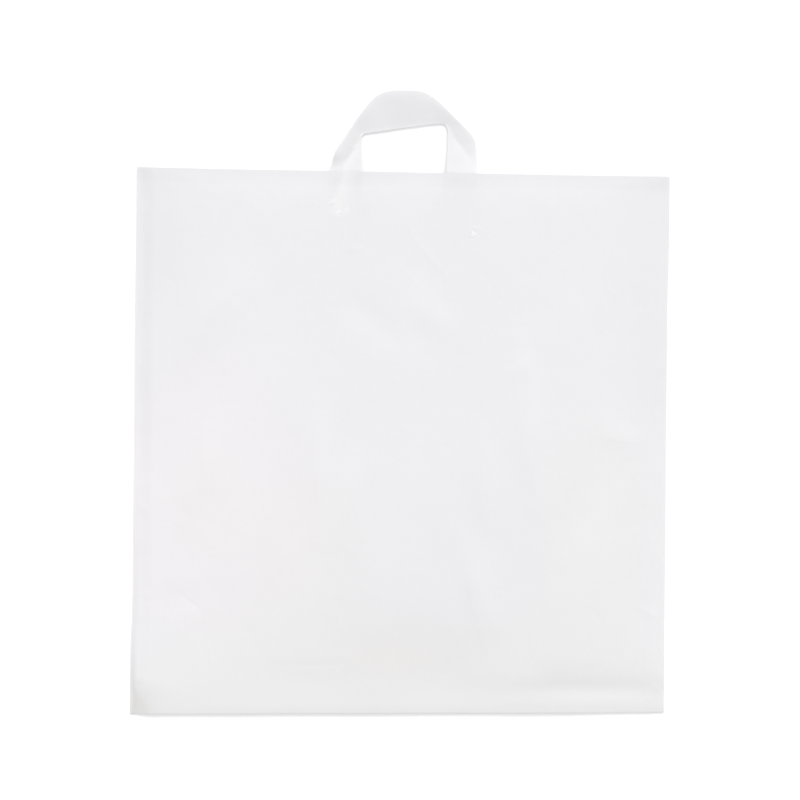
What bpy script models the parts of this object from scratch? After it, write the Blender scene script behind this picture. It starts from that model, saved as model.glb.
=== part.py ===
"""A plastic carrier bag with two soft loop handles, lying flat on its back.

The bag is one length of polyethylene film. It runs down the front, tucks in as a bottom gusset, runs
up the back, and is welded along both sides. Each handle is a strip of pressed film, looped over and
welded inside the mouth, one on the front wall and one on the back wall.

Metres, +Z up. +X is across the bag and +Y runs from the bottom fold to the handles. The origin is the
middle of the whole outline, on the surface that the bag lies on.
"""

import math

import bmesh
import bpy

# Bag sizes
BAG_WIDTH = 0.500
BAG_HEIGHT = 0.508
GUSSET_DEPTH = 0.053
FILM = 0.00008
WELD_WIDTH = 0.004
WELD_THICKNESS = 0.00054
WELD_BITE = 0.0015

# How the bag lies: heights above the back wall, and how far the walls take to leave the side welds
BOTTOM_LOFT = 0.0024
BELLY_LOFT = 0.0100
MOUTH_LOFT = 0.0086
BELLY_HEIGHT = 0.280
BULGE = 0.0022
BULGE_WIDTH = 0.082
BULGE_HEIGHT = 0.120
STEP = 0.0011
STEP_EDGE = 0.110
EDGE_RUN = 0.014
EDGE_SHARE = 0.30
FRONT_RUN = 0.100
BACK_RUN = 0.034
WELD_LIFT = 0.0006
WELD_WAVE = 0.0011
WELD_WAVE_LENGTH = 0.21
FOLD_GAP = 0.0006
APEX_GAP = 0.0005
TAPER_SHARE = 0.65

# Handle sizes. Positions are across from the middle, and up from the mouth
STRIP_WIDTH = 0.038
STRIP_THICKNESS = 0.0002
HANDLE_RISE = 0.0753
LEG_SPREAD = 0.0535
CLEARANCE = 0.0003
FLAP_GAP = 0.0005
FLAP_LEAST = 0.003
FLAP_SHARE = 0.85
FRONT_LIFT = 0.0034
BACK_LIFT = 0.0020
BACK_SCALE = 0.985
MOUTH_RUN = 0.012
LOOP_RUN = 0.045

# Mesh fineness
COLUMNS = 34
CROWDED_SHARE = 0.45
WALL_ROWS = 33
BACK_ROWS = 18
GUSSET_ROWS = 4
FOLD_STEPS = 3
HANDLE_RINGS = 43
PANEL_STEPS = 3

BOTTOM_Y = -(BAG_HEIGHT + HANDLE_RISE) / 2
MOUTH_Y = BOTTOM_Y + BAG_HEIGHT
FILM_EDGE = BAG_WIDTH / 2 - WELD_WIDTH + WELD_BITE
WELD_INNER = BAG_WIDTH / 2 - WELD_WIDTH
LAYER_STEP = WELD_THICKNESS / 5

# Long soft folds of the front wall, where goods and handles have drawn it, as shares of the bag's
# height: across and up from the bottom fold at each end, half width, lift
FRONT_FOLDS = (
    (-0.118, 0.778, -0.008, 0.679, 0.032, -0.0026),
    (0.008, 0.772, 0.090, 0.693, 0.028, 0.0018),
    (-0.417, 0.679, -0.295, 0.772, 0.036, 0.0016),
    (-0.152, 0.535, -0.160, 0.325, 0.024, 0.0026),
    (-0.095, 0.472, -0.126, 0.285, 0.024, 0.0022),
    (-0.354, 0.516, -0.386, 0.354, 0.028, 0.0024),
    (0.217, 0.679, 0.238, 0.394, 0.030, 0.0028),
    (0.152, 0.516, 0.144, 0.354, 0.024, 0.0022),
    (0.118, 0.315, 0.158, 0.167, 0.024, 0.0024),
    (0.366, 0.528, 0.447, 0.500, 0.024, 0.0018),
    (0.366, 0.472, 0.295, 0.276, 0.036, -0.0022),
    (-0.472, 0.197, -0.366, 0.220, 0.028, -0.0018),
)

# The loop as it lies, from the left end of the strip to the right one: outer edge, fold edge on the
# inner side (across and up from the mouth, as shares of the loop), where a crease runs between them,
# and how far the outer edge and the inner edge stand up from that crease
LOOP = (
    (-1.330, -0.800, -0.810, -0.790, 0.38, 0.00, 0.00),
    (-1.320, -0.500, -0.790, -0.490, 0.38, 0.00, 0.00),
    (-1.310, -0.220, -0.775, -0.220, 0.38, 0.60, 0.30),
    (-1.295, 0.020, -0.770, 0.010, 0.42, 0.90, 0.50),
    (-1.230, 0.210, -0.772, 0.170, 0.58, 1.00, 0.55),
    (-1.070, 0.385, -0.775, 0.310, 0.78, 1.00, 0.35),
    (-0.900, 0.580, -0.755, 0.400, 0.93, 0.75, 0.10),
    (-0.720, 0.765, -0.660, 0.428, 0.96, 0.70, 0.00),
    (-0.520, 0.914, -0.470, 0.452, 0.96, 0.85, 0.00),
    (-0.300, 0.985, -0.260, 0.476, 0.96, 1.00, 0.00),
    (-0.030, 1.000, -0.020, 0.503, 0.96, 1.05, 0.00),
    (0.240, 0.993, 0.200, 0.527, 0.96, 1.00, 0.00),
    (0.450, 0.925, 0.380, 0.547, 0.96, 0.80, 0.00),
    (0.650, 0.806, 0.530, 0.562, 0.96, 0.55, 0.00),
    (0.850, 0.668, 0.645, 0.562, 0.96, 0.45, 0.00),
    (1.030, 0.545, 0.702, 0.520, 0.92, 0.45, 0.15),
    (1.165, 0.435, 0.708, 0.400, 0.72, 0.40, 0.35),
    (1.225, 0.300, 0.700, 0.260, 0.42, 0.25, 0.45),
    (1.232, 0.100, 0.680, 0.090, 0.14, 0.05, 0.40),
    (1.230, -0.150, 0.665, -0.150, 0.20, 0.00, 0.20),
    (1.235, -0.480, 0.670, -0.480, 0.38, 0.00, 0.00),
    (1.240, -0.800, 0.680, -0.800, 0.38, 0.00, 0.00),
)


def ease(share):
    """0 to 1, level at both ends."""
    share = min(1.0, max(0.0, share))
    return share * share * (3 - 2 * share)


def mix(low, high, share):
    return low + (high - low) * share


def fold_lift(across, up):
    """What the soft folds add to the front wall."""
    total = 0.0
    for numbers in FRONT_FOLDS:
        x1, y1, x2, y2, half_width, lift = (BAG_HEIGHT * number for number in numbers)
        run = (x2 - x1) ** 2 + (y2 - y1) ** 2
        along = ((across - x1) * (x2 - x1) + (up - y1) * (y2 - y1)) / run
        along = min(1.0, max(0.0, along))
        away = math.hypot(across - mix(x1, x2, along), up - mix(y1, y2, along))
        taper = 1 - TAPER_SHARE + TAPER_SHARE * math.sin(math.pi * along)
        total += lift * taper * math.exp(-((away / half_width) ** 2))
    return total


def loft(across, up):
    """Height of the front wall over the back wall, away from the side welds."""
    belly = mix(BOTTOM_LOFT, BELLY_LOFT, ease(up / BELLY_HEIGHT))
    slack = belly + (MOUTH_LOFT - BELLY_LOFT) * ease((up - BELLY_HEIGHT) / (BAG_HEIGHT - BELLY_HEIGHT))
    over_gusset = ease((up - GUSSET_DEPTH / 2) / (BULGE_HEIGHT - GUSSET_DEPTH / 2))
    sinking = 1 - ease((up - BULGE_HEIGHT) / (BELLY_HEIGHT - BULGE_HEIGHT))
    bulge = BULGE * math.exp(-((across / BULGE_WIDTH) ** 2)) * over_gusset * sinking
    to_right = ease((across - STEP_EDGE) / BACK_RUN)
    step = STEP * to_right * ease((up - GUSSET_DEPTH / 2) / (GUSSET_DEPTH / 2)) * sinking
    return slack + bulge + step


def weld_height(up):
    """Middle of a side weld above the floor. It waves gently above the gusset."""
    above = max(0.0, up - GUSSET_DEPTH)
    return WELD_LIFT + WELD_WAVE * ease(above / WELD_WAVE_LENGTH) * (
        0.5 - 0.5 * math.cos(2 * math.pi * above / WELD_WAVE_LENGTH)
    )


def from_weld(across):
    return max(0.0, WELD_INNER - abs(across))


def back_height(across, up):
    """Middle of the back wall's film. It lies on the floor away from the side welds."""
    rest = ease(from_weld(across) / BACK_RUN)
    return mix(weld_height(up) - 1.5 * LAYER_STEP, FILM / 2, rest)


def rise(across):
    """How much of its full height a wall has reached: fast beside the weld, then slowly."""
    away = from_weld(across)
    return mix(ease(away / FRONT_RUN), ease(away / EDGE_RUN), EDGE_SHARE)


def front_height(across, up):
    puffed = loft(across, up) + fold_lift(across, up)
    return back_height(across, up) + mix(3 * LAYER_STEP, puffed, rise(across))


def gusset_height(side, across, up):
    """Middle of a gusset layer: side 1 faces the front wall and side -1 the back wall."""
    front, back = front_height(across, up), back_height(across, up)
    at_apex = (front - back - APEX_GAP) / 2
    pocket = mix(FOLD_GAP, at_apex, up / GUSSET_DEPTH)
    pocket = mix(LAYER_STEP, pocket, rise(across))
    return front - pocket if side > 0 else back + pocket


def film_rows():
    """Places along the film, from the front mouth down, through the gusset, and up to the back mouth."""
    walls = [
        GUSSET_DEPTH + (BAG_HEIGHT - GUSSET_DEPTH) * row / (WALL_ROWS - GUSSET_ROWS)
        for row in range(WALL_ROWS - GUSSET_ROWS, 0, -1)
    ]
    backs = [
        GUSSET_DEPTH + (BAG_HEIGHT - GUSSET_DEPTH) * row / BACK_ROWS for row in range(1, BACK_ROWS + 1)
    ]
    tucks = [GUSSET_DEPTH * row / GUSSET_ROWS for row in range(GUSSET_ROWS + 1)]
    turns = [step / FOLD_STEPS for step in range(1, FOLD_STEPS)]
    rows = [("front", up) for up in walls + tucks[::-1]]
    rows += [("front_fold", turn) for turn in turns]
    rows += [("front_gusset", up) for up in tucks]
    rows += [("apex", turn) for turn in turns]
    rows += [("back_gusset", up) for up in tucks[::-1]]
    rows += [("back_fold", turn) for turn in turns]
    rows += [("back", up) for up in tucks + backs]
    return rows


def turned(first, last, turn, edge, way):
    """A point on the round of a fold between two layers: how far along the bag, and its height."""
    half = (first - last) / 2
    bulge = abs(half) * math.sin(math.pi * turn)
    return edge + way * bulge, (first + last) / 2 + half * math.cos(math.pi * turn)


def film_point(place, across):
    """Up from the bottom fold, and the height, of the film at one of its rows."""
    layer, value = place
    if layer == "front":
        return value, front_height(across, value)
    if layer == "back":
        return value, back_height(across, value)
    if layer == "front_gusset":
        return value, gusset_height(1, across, value)
    if layer == "back_gusset":
        return value, gusset_height(-1, across, value)
    if layer == "front_fold":
        return turned(front_height(across, 0), gusset_height(1, across, 0), value, 0, -1)
    if layer == "back_fold":
        return turned(gusset_height(-1, across, 0), back_height(across, 0), value, 0, -1)
    ends = [gusset_height(side, across, GUSSET_DEPTH) for side in (1, -1)]
    return turned(ends[0], ends[1], value, GUSSET_DEPTH, 1)


def column_place(share):
    """Across the bag, closer together near the welds. share is -1 to 1."""
    crowded = math.sin(math.pi / 2 * share)
    return FILM_EDGE * mix(share, crowded, CROWDED_SHARE)


def plain_material(name, colour, roughness):
    material = bpy.data.materials.new(name)
    material.use_nodes = True
    shader = material.node_tree.nodes["Principled BSDF"]
    shader.inputs["Base Color"].default_value = (*colour, 1)
    shader.inputs["Roughness"].default_value = roughness
    shader.inputs["Metallic"].default_value = 0
    return material


def placed_grid(name, columns, rows, place, collection):
    """A grid primitive whose points are moved to place(column, row)."""
    shape = bmesh.new()
    bmesh.ops.create_grid(shape, x_segments=columns, y_segments=rows, size=1)
    for vertex in shape.verts:
        column = round((vertex.co.x + 1) / 2 * columns)
        row = round((vertex.co.y + 1) / 2 * rows)
        vertex.co = place(column, row)
    for face in shape.faces:
        face.smooth = True
    mesh = bpy.data.meshes.new(name)
    shape.to_mesh(mesh)
    shape.free()
    made = bpy.data.objects.new(name, mesh)
    collection.objects.link(made)
    return made


def thicken(made, thickness):
    solidify = made.modifiers.new("film", "SOLIDIFY")
    solidify.thickness = thickness
    solidify.offset = 0
    solidify.use_even_offset = True


def bag_film(collection):
    rows = film_rows()

    def place(column, row):
        across = column_place(2 * column / COLUMNS - 1)
        up, height = film_point(rows[row], across)
        return across, BOTTOM_Y + up, height

    film = placed_grid("bag_body", COLUMNS, len(rows) - 1, place, collection)
    thicken(film, FILM)
    return film


def side_weld(side, collection):
    """The strip where the walls are melted together and cut off."""
    edge = side * BAG_WIDTH / 2
    inner = side * WELD_INNER

    def place(column, row):
        up = BAG_HEIGHT * row / WALL_ROWS
        reach = -FOLD_GAP / 4 if row == 0 else 0
        return (inner, edge)[column], BOTTOM_Y + up + reach, weld_height(up)

    weld = placed_grid(f"side_weld_{side}", 1, WALL_ROWS, place, collection)
    thicken(weld, WELD_THICKNESS)
    weld.hide_render = True
    weld.display_type = "WIRE"
    return weld


def loop_point(share):
    """The loop's numbers at share 0 to 1 of its length, on a smooth curve through LOOP."""
    at = share * (len(LOOP) - 1)
    start = min(int(at), len(LOOP) - 2)
    part = at - start
    near = [LOOP[min(max(start + step, 0), len(LOOP) - 1)] for step in (-1, 0, 1, 2)]
    return [
        0.5
        * (
            2 * b
            + (c - a) * part
            + (2 * a - 5 * b + 4 * c - d) * part**2
            + (3 * b - a - 3 * c + d) * part**3
        )
        for a, b, c, d in zip(*near)
    ]


def strip_section(share, spread, rise, lift, carried):
    """One section across a handle strip, from its outer edge over the crease and round the fold at the
    inner side. carried(across, up) is the strip's height when flat."""
    outer_x, outer_y, inner_x, inner_y, crease, outer_lift, inner_lift = loop_point(share)
    outer = (outer_x * spread, outer_y * rise)
    inner = (inner_x * spread, inner_y * rise)
    shown = math.dist(outer, inner)

    def point(at, drop):
        x, y = mix(outer[0], inner[0], at), mix(outer[1], inner[1], at)
        if at < crease:
            stand = mix(outer_lift, 0, at / crease)
        else:
            stand = mix(0, inner_lift, (at - crease) / (1 - crease))
        return x, y, carried(x, y) + lift * stand * ease(y / MOUTH_RUN) - FLAP_GAP * drop

    points = [point(mix(0, crease, step / PANEL_STEPS), 0) for step in range(PANEL_STEPS)]
    points += [point(mix(crease, 1, step / PANEL_STEPS), 0) for step in range(PANEL_STEPS + 1)]
    flap = min(max(FLAP_LEAST, STRIP_WIDTH - shown), FLAP_SHARE * shown)
    points.append(point(1 + FLAP_GAP / 2 / shown, 0.5))
    points.append(point(1, 1))
    points.append(point(1 - flap / shown, 1))
    return points


def back_strip(across, up):
    """Height of the back handle's strip. It lies on the back wall, and on the floor past the mouth."""
    under = mix(FILM + CLEARANCE, FILM, ease((up - MOUTH_RUN / 3) / MOUTH_RUN))
    return under + FLAP_GAP + STRIP_THICKNESS / 2


def front_strip(across, up):
    """Height of the front handle's strip. It hangs under the front wall and lies on the back loop."""
    wall = front_height(across, BAG_HEIGHT + min(0, up))
    inside = wall - FILM / 2 - CLEARANCE - STRIP_THICKNESS / 2
    on_loop = back_strip(0, LOOP_RUN) + STRIP_THICKNESS + 2 * CLEARANCE + FLAP_GAP
    return mix(on_loop, inside, max(0, 1 - max(0, up) / LOOP_RUN) ** 2)


def handle(name, scale, lift, carried, collection):
    spread, rise = LEG_SPREAD * scale, HANDLE_RISE * scale
    sections = [
        strip_section(ring / HANDLE_RINGS, spread, rise, lift, carried)
        for ring in range(HANDLE_RINGS + 1)
    ]

    def place(column, row):
        x, y, height = sections[column][row]
        return x, MOUTH_Y + y, height

    made = placed_grid(name, HANDLE_RINGS, len(sections[0]) - 1, place, collection)
    thicken(made, STRIP_THICKNESS)
    return made


def build():
    for old in list(bpy.data.objects):
        bpy.data.objects.remove(old, do_unlink=True)
    parts = bpy.data.collections.new("plastic_carrier_bag")
    helpers = bpy.data.collections.new("helpers")
    for collection in (parts, helpers):
        bpy.context.scene.collection.children.link(collection)

    film = bag_film(parts)
    for side in (-1, 1):
        join = film.modifiers.new("side weld", "BOOLEAN")
        join.operation = "UNION"
        join.solver = "EXACT"
        join.object = side_weld(side, helpers)
    front = handle("handle_front", 1, FRONT_LIFT, front_strip, parts)
    back = handle("handle_back", BACK_SCALE, BACK_LIFT, back_strip, parts)
    for made, name in ((film, "milky_film"), (front, "front_strip_film"), (back, "back_strip_film")):
        made.data.materials.append(plain_material(name, (0.87, 0.87, 0.88), 0.35))


build()
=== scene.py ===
import math

import bpy
import numpy as np
from mathutils import Matrix, Vector, noise


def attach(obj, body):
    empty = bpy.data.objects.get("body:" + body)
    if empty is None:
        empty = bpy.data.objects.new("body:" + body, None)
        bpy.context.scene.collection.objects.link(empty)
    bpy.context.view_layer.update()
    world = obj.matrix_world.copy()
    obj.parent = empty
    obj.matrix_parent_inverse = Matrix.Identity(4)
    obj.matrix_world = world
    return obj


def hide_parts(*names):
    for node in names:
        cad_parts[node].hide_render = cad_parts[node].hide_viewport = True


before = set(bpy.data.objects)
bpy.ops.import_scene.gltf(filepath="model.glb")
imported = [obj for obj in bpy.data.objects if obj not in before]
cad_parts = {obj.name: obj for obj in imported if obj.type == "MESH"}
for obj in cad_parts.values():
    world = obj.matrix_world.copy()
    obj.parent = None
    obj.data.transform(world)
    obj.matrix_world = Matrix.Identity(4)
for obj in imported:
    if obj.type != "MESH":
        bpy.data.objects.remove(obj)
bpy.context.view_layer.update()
scene = bpy.context.scene
scene.view_settings.view_transform = "Standard"

# Camera: almost straight above the bag, a few degrees off about its long axis and a little rolled,
# as the photo was taken. The scale is in pixels to the metre, and the shift and picture in pixels.
DISTANCE, PAN, TILT, ROLL = 1.6, 3.710, -0.250, -0.528
PICTURE, SCALE, SHIFT_X, SHIFT_Y, SENSOR = 800, 1065.0, -3.12, 2.24, 36
lens = bpy.data.cameras.new("camera")
lens.sensor_width = SENSOR
lens.lens = SENSOR * SCALE * DISTANCE / PICTURE
lens.shift_x, lens.shift_y = SHIFT_X / PICTURE, SHIFT_Y / PICTURE
camera = bpy.data.objects.new("camera", lens)
scene.collection.objects.link(camera)
scene.camera = camera
turned_bag = (
    Matrix.Rotation(math.radians(ROLL), 4, "Z")
    @ Matrix.Rotation(math.radians(PAN), 4, "Y")
    @ Matrix.Rotation(math.radians(TILT), 4, "X")
)
camera.matrix_world = turned_bag.inverted() @ Matrix.Translation((0, 0, DISTANCE))

# Light: an even white room and one soft window light from the handle end, a little to the right.
# The room is full white where it is seen, mirrored or shows through, and dimmer as light on the film.
ROOM_LIGHT, WINDOW_LIGHT, WINDOW_ANGLE = 0.66, 1.85, 34
WINDOW_WAY = (-0.12, -1.0, -0.75)


def seen(tree):
    """1 for the rays that show a white ground: straight, by gloss or through the film."""
    path = tree.nodes.new("ShaderNodeLightPath")
    either = path.outputs["Is Camera Ray"]
    for ray in ("Is Glossy Ray", "Is Transmission Ray"):
        larger = tree.nodes.new("ShaderNodeMath")
        larger.operation = "MAXIMUM"
        tree.links.new(either, larger.inputs[0])
        tree.links.new(path.outputs[ray], larger.inputs[1])
        either = larger.outputs[0]
    return either


room = bpy.data.worlds.new("room")
scene.world = room
room.use_nodes = True
air = room.node_tree.nodes["Background"]
air.inputs["Color"].default_value = (1, 1, 1, 1)
strength = room.node_tree.nodes.new("ShaderNodeMapRange")
strength.inputs["To Min"].default_value = ROOM_LIGHT
strength.inputs["To Max"].default_value = 1
room.node_tree.links.new(seen(room.node_tree), strength.inputs["Value"])
room.node_tree.links.new(strength.outputs["Result"], air.inputs["Strength"])
window = bpy.data.objects.new("window", bpy.data.lights.new("window", "SUN"))
scene.collection.objects.link(window)
window.data.energy = WINDOW_LIGHT
window.data.angle = math.radians(WINDOW_ANGLE)
window.rotation_euler = Vector(WINDOW_WAY).to_track_quat("-Z", "Y").to_euler()

# Floor: a pale table with the glow of a white ground where it is seen, so that only the bag's shadows
# show on it. It lies a little lower than the film.
FLOOR_SIZE, FLOOR_DROP, FLOOR_TONE, FLOOR_GLOW = 8, 0.0004, 0.80, 0.34
bpy.ops.mesh.primitive_plane_add(size=FLOOR_SIZE, location=(0, 0, -FLOOR_DROP))
floor = bpy.context.object
floor.name = "floor"
ground = bpy.data.materials.new("white_ground")
ground.use_nodes = True
surface = ground.node_tree.nodes["Principled BSDF"]
surface.inputs["Base Color"].default_value = (FLOOR_TONE, FLOOR_TONE, FLOOR_TONE, 1)
surface.inputs["Roughness"].default_value = 0.9
surface.inputs["Specular IOR Level"].default_value = 0
surface.inputs["Emission Color"].default_value = (1, 1, 1, 1)
glow = ground.node_tree.nodes.new("ShaderNodeMath")
glow.operation = "MULTIPLY"
glow.inputs[1].default_value = FLOOR_GLOW
ground.node_tree.links.new(seen(ground.node_tree), glow.inputs[0])
ground.node_tree.links.new(glow.outputs[0], surface.inputs["Emission Strength"])
floor.data.materials.append(ground)

# Bag: one length of thin milky polyethylene film, folded into a gusset at the bottom, with its long
# edges welded and its mouth open. It lies empty on its back wall, and the slack front wall rises from
# the welds, fast at first and then slowly, and sinks to the gusset and to the mouth.
WIDTH, HEIGHT, GUSSET, WELD, LOOP_RISE = 0.500, 0.508, 0.053, 0.004, 0.0753
FILM, LAYER = 0.00008, 0.000108
BOTTOM_Y = -(HEIGHT + LOOP_RISE) / 2

# Heights over the table. Across is 0 on the middle line, and up is 0 on the bottom fold, in metres.
WELD_REST, WELD_WAVE, WELD_WAVELENGTH = 0.0006, 0.0011, 0.21
STEEP, GENTLE, STEEP_SHARE, BACK_REACH = 0.014, 0.100, 0.30, 0.034
LOW_SLACK, SLACK, SLACK_UP, MOUTH_SINK = 0.0024, 0.0100, 0.280, 0.0014
BULGE, BULGE_REACH, BULGE_UP = 0.0022, 0.082, 0.120
STEP, STEP_ACROSS, STEP_REACH = 0.0011, 0.110, 0.034


def ease(share):
    share = np.clip(share, 0, 1)
    return share * share * (3 - 2 * share)


def mix(low, high, share):
    return low + (high - low) * share


def from_weld(across):
    """How far in from the inner edge of the nearer side weld."""
    return np.maximum(0.0, WIDTH / 2 - WELD - np.abs(across))


def weld_height(up):
    """The welds lie flat beside the gusset and wave above it."""
    above = np.maximum(0.0, up - GUSSET)
    wave = 0.5 - 0.5 * np.cos(2 * np.pi * above / WELD_WAVELENGTH)
    return WELD_REST + WELD_WAVE * ease(above / WELD_WAVELENGTH) * wave


def rise(across):
    """0 on the side welds and 1 where the walls have parted in full."""
    away = from_weld(across)
    return mix(ease(away / GENTLE), ease(away / STEEP), STEEP_SHARE)


def back_height(across, up):
    """The back wall leaves the weld one and a half layers under its middle and comes down to the table."""
    return mix(weld_height(up) - 1.5 * LAYER, FILM / 2, ease(from_weld(across) / BACK_REACH))


# Wide soft folds: across and up at both ends, half width, lift, and 0 for a round top.
WIDE_FOLDS = (
    (-0.060, 0.395, -0.004, 0.345, 0.0163, -0.0008, 0),
    (0.004, 0.392, 0.046, 0.352, 0.0142, 0.0009, 0),
    (-0.212, 0.345, -0.150, 0.392, 0.0183, 0.0005, 0),
    (-0.077, 0.272, -0.081, 0.165, 0.0122, 0.0013, 0),
    (-0.048, 0.240, -0.064, 0.145, 0.0122, 0.0011, 0),
    (-0.180, 0.262, -0.196, 0.180, 0.0142, 0.0012, 0),
    (0.110, 0.345, 0.121, 0.200, 0.0152, 0.0014, 0),
    (0.077, 0.262, 0.073, 0.180, 0.0122, 0.0011, 0),
    (0.060, 0.160, 0.080, 0.085, 0.0122, 0.0012, 0),
    (0.186, 0.268, 0.227, 0.254, 0.0122, 0.0009, 0),
    (0.186, 0.240, 0.150, 0.140, 0.0183, -0.0011, 0),
    (-0.240, 0.100, -0.186, 0.112, 0.0142, -0.0009, 0),
)
FOLD_END, FOLD_TOP = 0.35, 0.004


def ridge(across, up, fold):
    """How high a fold stands: full in its middle, lower at its ends, with a round or a sharp top."""
    x1, y1, x2, y2, width, lift, sharp = fold
    along = ((across - x1) * (x2 - x1) + (up - y1) * (y2 - y1)) / ((x2 - x1) ** 2 + (y2 - y1) ** 2)
    along = np.clip(along, 0, 1)
    away = np.hypot(across - mix(x1, x2, along), up - mix(y1, y2, along)) / width
    taper = mix(FOLD_END, 1, np.sin(np.pi * along))
    return lift * taper * mix(np.exp(-away * away), np.exp(-np.sqrt(away * away + FOLD_TOP)), sharp)


def loft(across, up):
    """How far the front wall stands off the back one: its slack, a bulge and a step low down, and folds."""
    above_gusset = up - GUSSET / 2
    slack = mix(LOW_SLACK, SLACK, ease(up / SLACK_UP))
    slack = slack - MOUTH_SINK * ease((up - SLACK_UP) / (HEIGHT - SLACK_UP))
    bulge = BULGE * np.exp(-((across / BULGE_REACH) ** 2)) * ease(above_gusset / (BULGE_UP - GUSSET / 2))
    step = STEP * ease((across - STEP_ACROSS) / STEP_REACH) * ease(above_gusset / (GUSSET / 2))
    total = slack + (bulge + step) * (1 - ease((up - BULGE_UP) / (SLACK_UP - BULGE_UP)))
    for fold in WIDE_FOLDS:
        total = total + ridge(across, up, fold)
    return total


def front_height(across, up):
    """The front wall before its creases: the topmost layer in the weld, and lofted in between."""
    return back_height(across, up) + mix(3 * LAYER, loft(across, up), rise(across))


# Creases in the same form, with 1 for a sharp top: those that show clearly, then chance hairlines.
CREASES = [
    (-0.0795, 0.238, -0.0800, 0.200, 0.0032, 0.00032, 1),
    (-0.0550, 0.228, -0.0565, 0.176, 0.0028, 0.00030, 1),
    (-0.1825, 0.252, -0.1840, 0.226, 0.0032, 0.00030, 1),
    (-0.1990, 0.216, -0.2010, 0.192, 0.0032, 0.00035, 1),
    (0.1050, 0.316, 0.1140, 0.334, 0.0035, 0.00045, 1),
    (0.1140, 0.334, 0.1170, 0.312, 0.0032, 0.00040, 1),
    (0.1180, 0.250, 0.1220, 0.220, 0.0032, 0.00032, 1),
    (0.0750, 0.232, 0.0745, 0.186, 0.0028, 0.00030, 1),
    (0.0600, 0.132, 0.0800, 0.060, 0.0035, 0.00040, 1),
    (0.1900, 0.261, 0.2270, 0.254, 0.0030, 0.00020, 1),
    (-0.0050, 0.418, 0.0270, 0.386, 0.0035, 0.00016, 1),
    (0.0050, 0.449, 0.0400, 0.409, 0.0035, 0.00025, 1),
    (-0.2100, 0.350, -0.1500, 0.399, 0.0060, 0.00015, 1),
    (-0.2050, 0.111, -0.1840, 0.094, 0.0035, -0.00035, 1),
    (-0.1840, 0.094, -0.1880, 0.068, 0.0035, -0.00035, 1),
    (0.2250, 0.100, 0.2460, 0.088, 0.0030, 0.00035, 1),
    (0.2380, 0.026, 0.2480, 0.020, 0.0030, 0.00035, 1),
    (-0.2440, 0.194, -0.2360, 0.186, 0.0030, 0.00035, 1),
    (-0.1200, 0.045, -0.0480, 0.046, 0.0050, -0.00035, 1),
    (0.1150, 0.0225, 0.2430, 0.0215, 0.0080, -0.00050, 0),
    (0.0850, 0.0105, 0.2430, 0.0100, 0.0060, 0.00025, 0),
    (-0.0580, 0.455, -0.0580, 0.436, 0.0028, 0.00032, 1),
    (-0.0580, 0.436, -0.0400, 0.435, 0.0028, 0.00030, 1),
]
HAIRLINES = 90
chance = np.random.default_rng(11)
for _ in range(HAIRLINES):
    start_across, start_up = chance.uniform(-0.235, 0.235), chance.uniform(0.03, 0.49)
    turn, length = chance.normal(0, 0.55), chance.uniform(0.008, 0.034)
    end_across, end_up = start_across + length * math.sin(turn), start_up + length * math.cos(turn)
    half_width = chance.uniform(0.0016, 0.0030)
    side = chance.choice((-1, 1))
    lift = side * chance.uniform(0.00004, 0.00014)
    CREASES.append((start_across, start_up, end_across, end_up, half_width, lift, 1))

# The film's fine shape. Lifts and reaches are in metres.
FLARE, FLARE_REACH, FLARE_CURVE = 0.0011, 0.014, 1.5
CURL, CURL_ACROSS, CURL_UP, CURL_FADE = 0.0036, 0.022, 0.034, 2.5
LIMP, CRUMPLED, FACETED, GRAINY = 0.0013, 0.00018, 0.00015, 0.00004
PUCKERED, PUCKER_REACH, PUCKER_END = 0.00032, 0.011, 0.04
FLAT_EDGE, FLAT_BOTTOM, BOTTOM_SHARE = 0.006, 0.03, 0.4


def crumple(x, y):
    """The faint crumple that handling leaves: long limp waves, soft facets and a fine grain."""
    warp = noise.noise(Vector((x * 9, y * 9, 4.0)))
    limp = noise.noise(Vector((x * 13 + 0.5 * warp, y * 2.2, 8.6)))
    wide = noise.noise(Vector((x * 17 + warp, y * 11, 1.3)))
    facet = noise.voronoi(Vector((x * 28 + 0.6 * warp, y * 21, 7.1)))[0]
    fine = noise.noise(Vector((x * 75, y * 45, 2.7)))
    return LIMP * limp + CRUMPLED * wide + FACETED * (facet[1] - facet[0]) + GRAINY * fine


def pucker(x, y, from_edge):
    """The short waves that a side weld draws into the film beside it."""
    wave = noise.noise(Vector((math.copysign(9, x) + x * 6, y * 62, 0.4)))
    return PUCKERED * wave * math.exp(-from_edge / PUCKER_REACH)


def cockle(across, up):
    """What lies on the front wall: a flared mouth, creases, a curled corner, crumple and puckers."""
    total = FLARE * np.clip((up - HEIGHT + FLARE_REACH) / FLARE_REACH, 0, 1) ** FLARE_CURVE
    for crease in CREASES:
        total = total + ridge(across, up, crease)
    from_corner = (across + WIDTH / 2) / CURL_ACROSS + up / CURL_UP
    fading = np.exp(-np.maximum(0.0, from_corner - 1) / CURL_FADE)
    total = total + CURL * ease(from_corner) * fading
    from_edge = np.maximum(0.0, WIDTH / 2 - np.abs(across))
    for place in np.ndindex(across.shape):
        x, y, near_edge = float(across[place]), float(up[place]), float(from_edge[place])
        total[place] += crumple(x, y)
        if near_edge < PUCKER_END:
            total[place] += pucker(x, y, near_edge)
    return total * ease(from_edge / FLAT_EDGE) * mix(BOTTOM_SHARE, 1, ease(up / FLAT_BOTTOM))


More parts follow.
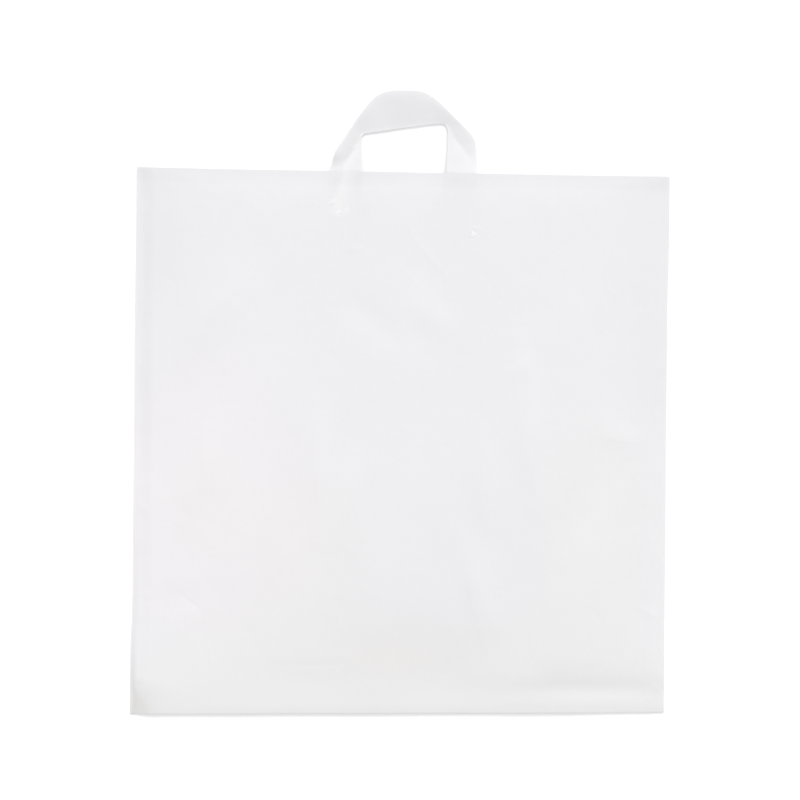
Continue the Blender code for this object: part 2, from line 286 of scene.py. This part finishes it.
# The film as a grid: its columns stand closer towards the welds, and its rows run down the front, in
# and out of the gusset, and up the back.
COLUMNS, FRONT_ROWS, BACK_ROWS, GUSSET_ROWS, TURN = 280, 270, 18, 9, 4
EVEN_SHARE, POCKET_LOW, POCKET_GAP = 0.82, 0.0006, 0.0005
DRAWN_IN, DRAWN_REACH = 0.0016, 0.12
LEFT_OUT, LEFT_UP, LEFT_REACH = 0.0016, 0.105, 0.045
RIGHT_OUT, RIGHT_UP, RIGHT_REACH = 0.0015, 0.370, 0.090
share = np.linspace(-1, 1, COLUMNS + 1)
columns = (WIDTH / 2) * (EVEN_SHARE * share + (1 - EVEN_SHARE) * np.sin(np.pi / 2 * share))


def level(up):
    return np.full_like(columns, up)


def drawn_in(up):
    """Rows near the mouth run in a little between the side welds, where the slack takes up film."""
    return level(up) - DRAWN_IN * rise(columns) * ease((up - HEIGHT + DRAWN_REACH) / DRAWN_REACH)


def wandered(across, up):
    """The side welds are not quite straight: one runs out near the bottom fold, one at the mouth."""
    left = LEFT_OUT * ease((LEFT_UP - up) / LEFT_REACH)
    right = RIGHT_OUT * ease((up - RIGHT_UP) / RIGHT_REACH)
    return across + (max(0, across) * right + min(0, across) * left) / (WIDTH / 2)


def front_film(up):
    return front_height(columns, level(up)) + cockle(columns, level(up))


def back_film(up):
    return back_height(columns, level(up))


def gusset_film(side, up):
    """The gusset's upper leaf (side 1) or lower leaf (side -1), each in the half of the bag beside it."""
    front, back = front_film(up), back_film(up)
    pocket = mix(POCKET_LOW, (front - back - POCKET_GAP) / 2, up / GUSSET)
    pocket = mix(LAYER, pocket, rise(columns))
    return front - pocket if side > 0 else back + pocket


def fold_rows(first, last, edge, way):
    """The film on its way round a fold from one layer to the next."""
    middle, half = (first + last) / 2, (first - last) / 2
    turned = [math.pi * step / TURN for step in range(1, TURN)]
    return [(edge + way * np.abs(half) * math.sin(turn), middle + half * math.cos(turn)) for turn in turned]


front_ups = [HEIGHT * (1 - row / FRONT_ROWS) for row in range(FRONT_ROWS + 1)]
gusset_ups = [GUSSET * row / GUSSET_ROWS for row in range(GUSSET_ROWS + 1)]
back_ups = [HEIGHT * row / BACK_ROWS for row in range(BACK_ROWS + 1)]
film_rows = [(drawn_in(up), front_film(up)) for up in front_ups]
film_rows += fold_rows(front_film(0), gusset_film(1, 0), 0, -1)
film_rows += [(level(up), gusset_film(1, up)) for up in gusset_ups]
film_rows += fold_rows(gusset_film(1, GUSSET), gusset_film(-1, GUSSET), GUSSET, 1)
film_rows += [(level(up), gusset_film(-1, up)) for up in gusset_ups[::-1]]
film_rows += fold_rows(gusset_film(-1, 0), back_film(0), 0, -1)
film_rows += [(drawn_in(up), back_film(up)) for up in back_ups]

bpy.ops.mesh.primitive_grid_add(x_subdivisions=COLUMNS, y_subdivisions=len(film_rows) - 1, size=2)
film = bpy.context.object
film.name = "bag_film"
for vertex in film.data.vertices:
    column = round((vertex.co.x + 1) / 2 * COLUMNS)
    up, height = film_rows[round((vertex.co.y + 1) / 2 * (len(film_rows) - 1))]
    vertex.co = (wandered(columns[column], up[column]), BOTTOM_Y + up[column], height[column])
film.data.flip_normals()
bpy.ops.object.shade_smooth()
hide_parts("bag_body")
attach(film, "root")

# Tints and painted shade: a few patches make the film whiter and warmer low on its body, and one greyer
# by the right edge. The rest are painted shade, darker along the left edge, the mouth and its edge, the
# gusset line, the bottom fold and the bottom left corner, where the film slopes away from the light or
# small folds shade it. Each gives across, up, reach across, reach up, and then what it adds to red,
# green and blue.
TINTS_AND_PAINTED_SHADE = (
    (-0.185, 0.200, 0.075, 0.115, 0.050, 0.034, 0.020),
    (-0.075, 0.165, 0.060, 0.080, 0.026, 0.024, 0.004),
    (0.180, 0.190, 0.075, 0.110, 0.012, 0.020, -0.004),
    (0.000, 0.030, 0.350, 0.070, 0.002, 0.004, -0.018),
    # Painted shade along the left edge.
    (-0.240, 0.420, 0.030, 0.090, -0.024, -0.020, -0.026),
    # Painted shade along the gusset line and down the front wall to the bottom fold.
    (0.000, 0.056, 0.075, 0.026, -0.014, -0.020, -0.030),
    (0.030, 0.022, 0.110, 0.022, -0.014, -0.014, -0.012),
    (-0.086, 0.038, 0.036, 0.009, -0.028, -0.026, -0.028),
    (0.185, 0.0275, 0.110, 0.0085, -0.044, -0.040, -0.048),
    # Greyer by the right edge.
    (0.235, 0.380, 0.028, 0.120, -0.016, -0.016, -0.015),
    # Painted shade along the mouth and its edge, along the bottom fold and at the bottom left corner.
    (0.000, 0.506, 0.600, 0.011, -0.016, -0.016, -0.016),
    (0.000, 0.508, 0.600, 0.004, -0.024, -0.024, -0.024),
    (0.000, 0.001, 0.600, 0.006, -0.050, -0.046, -0.056),
    (-0.242, 0.010, 0.013, 0.022, -0.044, -0.046, -0.066),
    (-0.248, 0.006, 0.003, 0.008, -0.080, -0.070, -0.080),
    (-0.244, 0.030, 0.004, 0.003, -0.050, -0.060, -0.050),
)
# Marks on the front wall alone, which stands higher than MARKED_ABOVE there: a whiter strip where the
# left leg is pressed to it, partly the doubled film and partly a painted highlight of the leg's lit side,
# and two crinkled seals (across, up, reach across, reach up).
MARKED_ABOVE, PRESSED_FILM_AND_HIGHLIGHT = 0.004, (0.045, 0.055, 0.028)
LEG_ACROSS, LEG_END_ACROSS, LEG_LENGTH = -0.0590, -0.0700, 0.036
LEG_EDGE, LEG_FLAT, LEG_FADE = 0.0030, 0.0040, 0.0150
LEG_FADE_DOWN, LEG_FADE_LENGTH = 0.034, 0.012
SEALS = ((-0.0620, 0.4730, 0.010, 0.009), (0.0650, 0.4510, 0.007, 0.005))


def pressed_leg_and_highlight(across, up):
    """1 where the left handle leg is pressed against the front wall, fading from its slanting crease. It
    whitens the film there, partly as doubled film and partly as a painted highlight.
    """
    down = HEIGHT - up
    past_crease = across - mix(LEG_ACROSS, LEG_END_ACROSS, down / LEG_LENGTH)
    inside = ease(past_crease / LEG_EDGE) * (1 - ease((past_crease - LEG_FLAT) / LEG_FADE))
    return inside * (1 - ease((down - LEG_FADE_DOWN) / LEG_FADE_LENGTH))


def sealed(across, up):
    """1 in the small crinkled patches where the front handle is heat sealed to the wall."""
    total = 0
    for seal_across, seal_up, reach_across, reach_up in SEALS:
        away = np.hypot((across - seal_across) / reach_across, (up - seal_up) / reach_up)
        total = total + np.exp(-(away**4))
    return np.clip(total, 0, 1)


points = np.empty(len(film.data.vertices) * 3)
film.data.vertices.foreach_get("co", points)
x, y, on_front = points[0::3], points[1::3] - BOTTOM_Y, points[2::3] > MARKED_ABOVE
tones = np.ones((len(x), 4))
# The tints and painted shade of the table above go into the film's colour.
for patch_across, patch_up, reach_across, reach_up, *added in TINTS_AND_PAINTED_SHADE:
    near = np.exp(-(((x - patch_across) / reach_across) ** 2) - ((y - patch_up) / reach_up) ** 2)
    tones[:, :3] += near[:, None] * np.array(added)
# Painted highlight, with the whiter doubled film, along the pressed left leg.
tones[:, :3] += (on_front * pressed_leg_and_highlight(x, y))[:, None] * np.array(PRESSED_FILM_AND_HIGHLIGHT)
tints_and_painted_shade = film.data.color_attributes.new("tints_and_painted_shade", "FLOAT_COLOR", "POINT")
tints_and_painted_shade.data.foreach_set("color", tones.ravel())
crinkled = film.data.attributes.new("sealed", "FLOAT", "POINT")
crinkled.data.foreach_set("value", on_front * sealed(x, y))

# The look of the film, which the handles share.
LINE_DEPTH, CRINKLE_DEPTH, TINT_SPREAD, DULL_SPREAD = 0.0002, 0.00022, 0.015, 0.06


def grain(tree, vector, scale, detail, roughness=0.5):
    """An even noise over the piece."""
    texture = tree.nodes.new("ShaderNodeTexNoise")
    texture.inputs["Scale"].default_value = scale
    texture.inputs["Detail"].default_value = detail
    texture.inputs["Roughness"].default_value = roughness
    tree.links.new(vector, texture.inputs["Vector"])
    return texture.outputs["Fac"]


def raised(tree, height, depth):
    """A relief on the film, with its depth in metres."""
    bump = tree.nodes.new("ShaderNodeBump")
    bump.inputs["Strength"].default_value = 1
    bump.inputs["Distance"].default_value = depth
    tree.links.new(height, bump.inputs["Height"])
    return bump


def film_material(name, colour, alpha, roughness):
    """Milky film that shows a little of what lies behind it: drawn lines run along it under a fine
    crumple, its tone varies at random and by the tints and painted shade, its dullness varies, and heat
    seals are crinkled, with white specks that are partly painted glints."""
    material = bpy.data.materials.new(name)
    material.use_nodes = True
    tree = material.node_tree
    nodes, links = tree.nodes, tree.links
    shader = nodes["Principled BSDF"]
    shader.inputs["Alpha"].default_value = alpha
    shader.inputs["IOR"].default_value = 1.51
    shader.inputs["Specular IOR Level"].default_value = 0.35
    place = nodes.new("ShaderNodeTexCoord").outputs["Object"]

    # Drawn lines along the bag and a fine crumple, as a shallow relief.
    drawn = nodes.new("ShaderNodeMapping")
    drawn.inputs["Scale"].default_value = (1, 0.08, 1)
    links.new(place, drawn.inputs["Vector"])
    lines = grain(tree, drawn.outputs["Vector"], scale=170, detail=2)
    crumpled = grain(tree, place, scale=95, detail=5, roughness=0.6)
    both = nodes.new("ShaderNodeMix")
    both.inputs["Factor"].default_value = 0.85
    links.new(lines, both.inputs["A"])
    links.new(crumpled, both.inputs["B"])
    bump = raised(tree, both.outputs["Result"], LINE_DEPTH)

    # Crinkles where the piece has a seal.
    seal = nodes.new("ShaderNodeAttribute")
    seal.attribute_name = "sealed"
    facets = nodes.new("ShaderNodeMapRange")
    facets.inputs["From Min"].default_value = 0.47
    facets.inputs["From Max"].default_value = 0.57
    links.new(grain(tree, place, scale=160, detail=1), facets.inputs["Value"])
    crinkle = nodes.new("ShaderNodeMath")
    crinkle.operation = "MULTIPLY"
    links.new(facets.outputs["Result"], crinkle.inputs[0])
    links.new(seal.outputs["Fac"], crinkle.inputs[1])
    crinkles = raised(tree, crinkle.outputs["Value"], CRINKLE_DEPTH)
    links.new(bump.outputs["Normal"], crinkles.inputs["Normal"])
    links.new(crinkles.outputs["Normal"], shader.inputs["Normal"])

    # Colour: a soft random tint all over, times the tints and painted shade, with white seal specks, partly
    # painted glints.
    tint = nodes.new("ShaderNodeMix")
    tint.data_type = "RGBA"
    tint.inputs["A"].default_value = (*((1 - TINT_SPREAD) * c for c in colour), 1)
    tint.inputs["B"].default_value = (*(min(1, (1 + TINT_SPREAD) * c) for c in colour), 1)
    links.new(grain(tree, place, scale=14, detail=3), tint.inputs["Factor"])
    tint_and_shade_patches = nodes.new("ShaderNodeAttribute")
    tint_and_shade_patches.attribute_name = "tints_and_painted_shade"
    tinted_and_shaded = nodes.new("ShaderNodeMix")
    tinted_and_shaded.data_type = "RGBA"
    tinted_and_shaded.blend_type = "MULTIPLY"
    tinted_and_shaded.inputs["Factor"].default_value = 1
    links.new(tint.outputs["Result"], tinted_and_shaded.inputs["A"])
    links.new(tint_and_shade_patches.outputs["Color"], tinted_and_shaded.inputs["B"])
    # White specks on the seals: partly the seal's own whiteness, partly painted glints.
    white_and_glint_specks = nodes.new("ShaderNodeMix")
    white_and_glint_specks.data_type = "RGBA"
    white_and_glint_specks.inputs["B"].default_value = (0.99, 0.99, 1, 1)
    links.new(crinkle.outputs["Value"], white_and_glint_specks.inputs["Factor"])
    links.new(tinted_and_shaded.outputs["Result"], white_and_glint_specks.inputs["A"])
    links.new(white_and_glint_specks.outputs["Result"], shader.inputs["Base Color"])

    # The crumple makes some spots duller than others.
    dull = nodes.new("ShaderNodeMapRange")
    dull.inputs["To Min"].default_value = roughness - DULL_SPREAD
    dull.inputs["To Max"].default_value = roughness + DULL_SPREAD
    links.new(crumpled, dull.inputs["Value"])
    links.new(dull.outputs["Result"], shader.inputs["Roughness"])
    return material


BAG_LOOK = {"colour": (0.921, 0.912, 0.938), "alpha": 0.90, "roughness": 0.38}
film.data.materials.append(film_material("milky_film", **BAG_LOOK))

# Handles: two strips of pressed film, each folded along its inner edge and looped over the mouth, with
# its ends heat sealed inside the front or the back wall. A crease runs along each, and its edges stand
# up from the crease a little. The front loop lies on the back one and covers it.
STRIP_WIDTH, STRIP_LENGTH, STRIP = 0.038, 0.292, 0.0002
STRIP_LOOK = {"colour": (0.893, 0.888, 0.903), "alpha": 0.92, "roughness": 0.36}
BACK_SCALE, BACK_TUCK, FRONT_LIFT, BACK_LIFT = 0.985, 0.0026, 0.0034, 0.0014
CLEAR, FLAP_GAP, LEAST_FLAP, MOST_FLAP = 0.0003, 0.0003, 0.003, 0.85
HANG, HANG_BELOW, HANG_REACH, RESTS_FROM = 0.0036, 0.040, 0.030, 0.045
SINKS_FROM, SINK_REACH, STRIP_WAVE, WAVE_REACH = 0.004, 0.012, 0.00012, 0.012
LOOP_SPREAD, MOUTH_Y = 0.0535, BOTTOM_Y + HEIGHT
RINGS, PANEL, QUARTERS = 240, 8, (0.25, 0.5, 0.75, 1.0)

# Along the loop: its outer edge and its folded inner edge (across and up from the mouth, as shares of
# the loop), where the crease runs between them, and how far the outer and inner edge stand up.
LOOP = np.array(
    (
        (-1.330, -0.800, -0.810, -0.790, 0.38, 0.00, 0.00),
        (-1.320, -0.500, -0.790, -0.490, 0.38, 0.00, 0.00),
        (-1.310, -0.220, -0.775, -0.220, 0.38, 0.60, 0.85),
        (-1.305, 0.020, -0.770, 0.010, 0.42, 0.50, 1.00),
        (-1.242, 0.210, -0.772, 0.170, 0.58, 1.70, 1.05),
        (-1.085, 0.390, -0.775, 0.335, 0.78, 1.35, 0.55),
        (-0.910, 0.588, -0.760, 0.448, 0.93, 0.75, 0.10),
        (-0.724, 0.773, -0.660, 0.474, 0.96, 0.70, 0.00),
        (-0.525, 0.930, -0.470, 0.496, 0.96, 0.65, 0.00),
        (-0.300, 0.993, -0.260, 0.520, 0.96, 0.90, 0.00),
        (-0.030, 1.005, -0.020, 0.549, 0.96, 1.05, 0.00),
        (0.245, 1.000, 0.205, 0.573, 0.96, 0.90, 0.00),
        (0.468, 0.934, 0.390, 0.592, 0.96, 0.60, 0.00),
        (0.675, 0.812, 0.550, 0.606, 0.96, 0.55, 0.00),
        (0.878, 0.674, 0.672, 0.604, 0.96, 0.45, 0.00),
        (1.056, 0.550, 0.732, 0.555, 0.92, 0.45, 0.15),
        (1.188, 0.440, 0.738, 0.420, 0.72, 0.50, 0.25),
        (1.243, 0.300, 0.735, 0.270, 0.42, 0.25, 0.45),
        (1.254, 0.100, 0.722, 0.090, 0.14, 0.03, 0.45),
        (1.250, -0.150, 0.708, -0.150, 0.20, 0.02, 0.42),
        (1.235, -0.480, 0.700, -0.480, 0.38, 0.00, 0.00),
        (1.240, -0.800, 0.700, -0.800, 0.38, 0.00, 0.00),
    )
)


def on_loop(share):
    """A smooth curve through the rows of LOOP."""
    at = share * (len(LOOP) - 1)
    start = min(int(at), len(LOOP) - 2)
    way = at - start
    rows = [LOOP[min(max(start + step, 0), len(LOOP) - 1)] for step in (-1, 0, 1, 2)]
    before, here, there, after = rows
    slope = there - before
    bend = 2 * before - 5 * here + 4 * there - after
    twist = 3 * here - before - 3 * there + after
    return 0.5 * (2 * here + slope * way + bend * way**2 + twist * way**3)


def back_strip(x, y):
    """It lies on the back wall inside the mouth, and sinks to the table a little way out."""
    return mix(FILM + CLEAR, FILM, ease((y - SINKS_FROM) / SINK_REACH)) + FLAP_GAP + STRIP / 2


def front_strip(x, y):
    """It lies on the back loop, rises to the mouth, and is welded to the wall further in. At the mouth
    its crease hangs below the wall, and its edges stand up towards it."""
    out = y + DRAWN_IN
    up = HEIGHT + np.minimum(0.0, out)
    wall = front_height(x, up) + cockle(x, up) - FILM / 2 - CLEAR - STRIP / 2
    on_back_loop = 2 * FILM + 2 * FLAP_GAP + 1.5 * STRIP + CLEAR
    near_mouth = np.maximum(0, 1 - np.maximum(0, out) / RESTS_FROM) ** 2
    return mix(on_back_loop, wall - HANG * ease((out + HANG_BELOW) / HANG_REACH), near_mouth)


def strip_section(crease, shown):
    """Across the strip, from 0 on its outer edge over the crease to 1 on its inner edge, then round the
    fold and back along the flap: each place with its drop, as a share of the gap to the flap."""
    section = [(mix(0, crease, step / PANEL), 0) for step in range(PANEL)]
    section += [(mix(crease, 1, step / PANEL), 0) for step in range(PANEL + 1)]
    for turn in QUARTERS:
        round_fold = FLAP_GAP / 2 * math.sin(math.pi * turn) / shown
        section.append((1 + round_fold, (1 - math.cos(math.pi * turn)) / 2))
    flap = min(max(LEAST_FLAP, STRIP_WIDTH - shown), MOST_FLAP * shown)
    section += [(1 - step * flap / shown, 1) for step in QUARTERS]
    return section


def stood_up(at, crease, outer_lift, inner_lift):
    """How far the strip stands up on either side of its crease."""
    if at < crease:
        return outer_lift * (1 - at / crease)
    return inner_lift * (at - crease) / (1 - crease)


def handle(name, node, scale, tuck, lift, carried):
    """One strip: its sections along the loop, laid on what carries it, with a faint crumple."""
    places = []
    for ring in range(RINGS + 1):
        outer_x, outer_y, inner_x, inner_y, crease, outer_lift, inner_lift = on_loop(ring / RINGS)
        outer = np.array((outer_x * LOOP_SPREAD, outer_y * LOOP_RISE)) * scale
        inner = np.array((inner_x * LOOP_SPREAD, inner_y * LOOP_RISE)) * scale
        inner = inner + (outer - inner) * tuck / float(np.hypot(*(outer - inner)))
        section = strip_section(crease, float(np.hypot(*(outer - inner))))
        for at, drop in section:
            stand = lift * stood_up(at, crease, outer_lift, inner_lift)
            places.append((*mix(outer, inner, at), stand - FLAP_GAP * drop))
    x, y, stand = np.array(places).T
    height = carried(x, y) + stand
    for place in range(len(x)):
        wave = noise.noise(Vector((x[place] * 70, y[place] * 70, 9 * scale)))
        height[place] += STRIP_WAVE * wave * ease(y[place] / WAVE_REACH)
    rows = len(section)
    bpy.ops.mesh.primitive_grid_add(x_subdivisions=RINGS, y_subdivisions=rows - 1, size=2)
    strip = bpy.context.object
    strip.name = name
    for vertex in strip.data.vertices:
        ring = round((vertex.co.x + 1) / 2 * RINGS)
        place = ring * rows + round((vertex.co.y + 1) / 2 * (rows - 1))
        vertex.co = (x[place], MOUTH_Y + y[place], height[place])
    strip.data.flip_normals()
    bpy.ops.object.shade_smooth()
    tones = np.ones(4 * len(strip.data.vertices))
    strip.data.color_attributes.new("tints_and_painted_shade", "FLOAT_COLOR", "POINT").data.foreach_set("color", tones)
    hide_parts(node)
    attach(strip, "root")
    return strip


front_loop = handle("loop_front", "handle_front", scale=1, tuck=0, lift=FRONT_LIFT, carried=front_strip)
front_loop.data.materials.append(film_material("strip_film_front", **STRIP_LOOK))
back_loop = handle(
    "loop_back", "handle_back", scale=BACK_SCALE, tuck=BACK_TUCK, lift=BACK_LIFT, carried=back_strip
)
back_loop.data.materials.append(film_material("strip_film_back", **STRIP_LOOK))
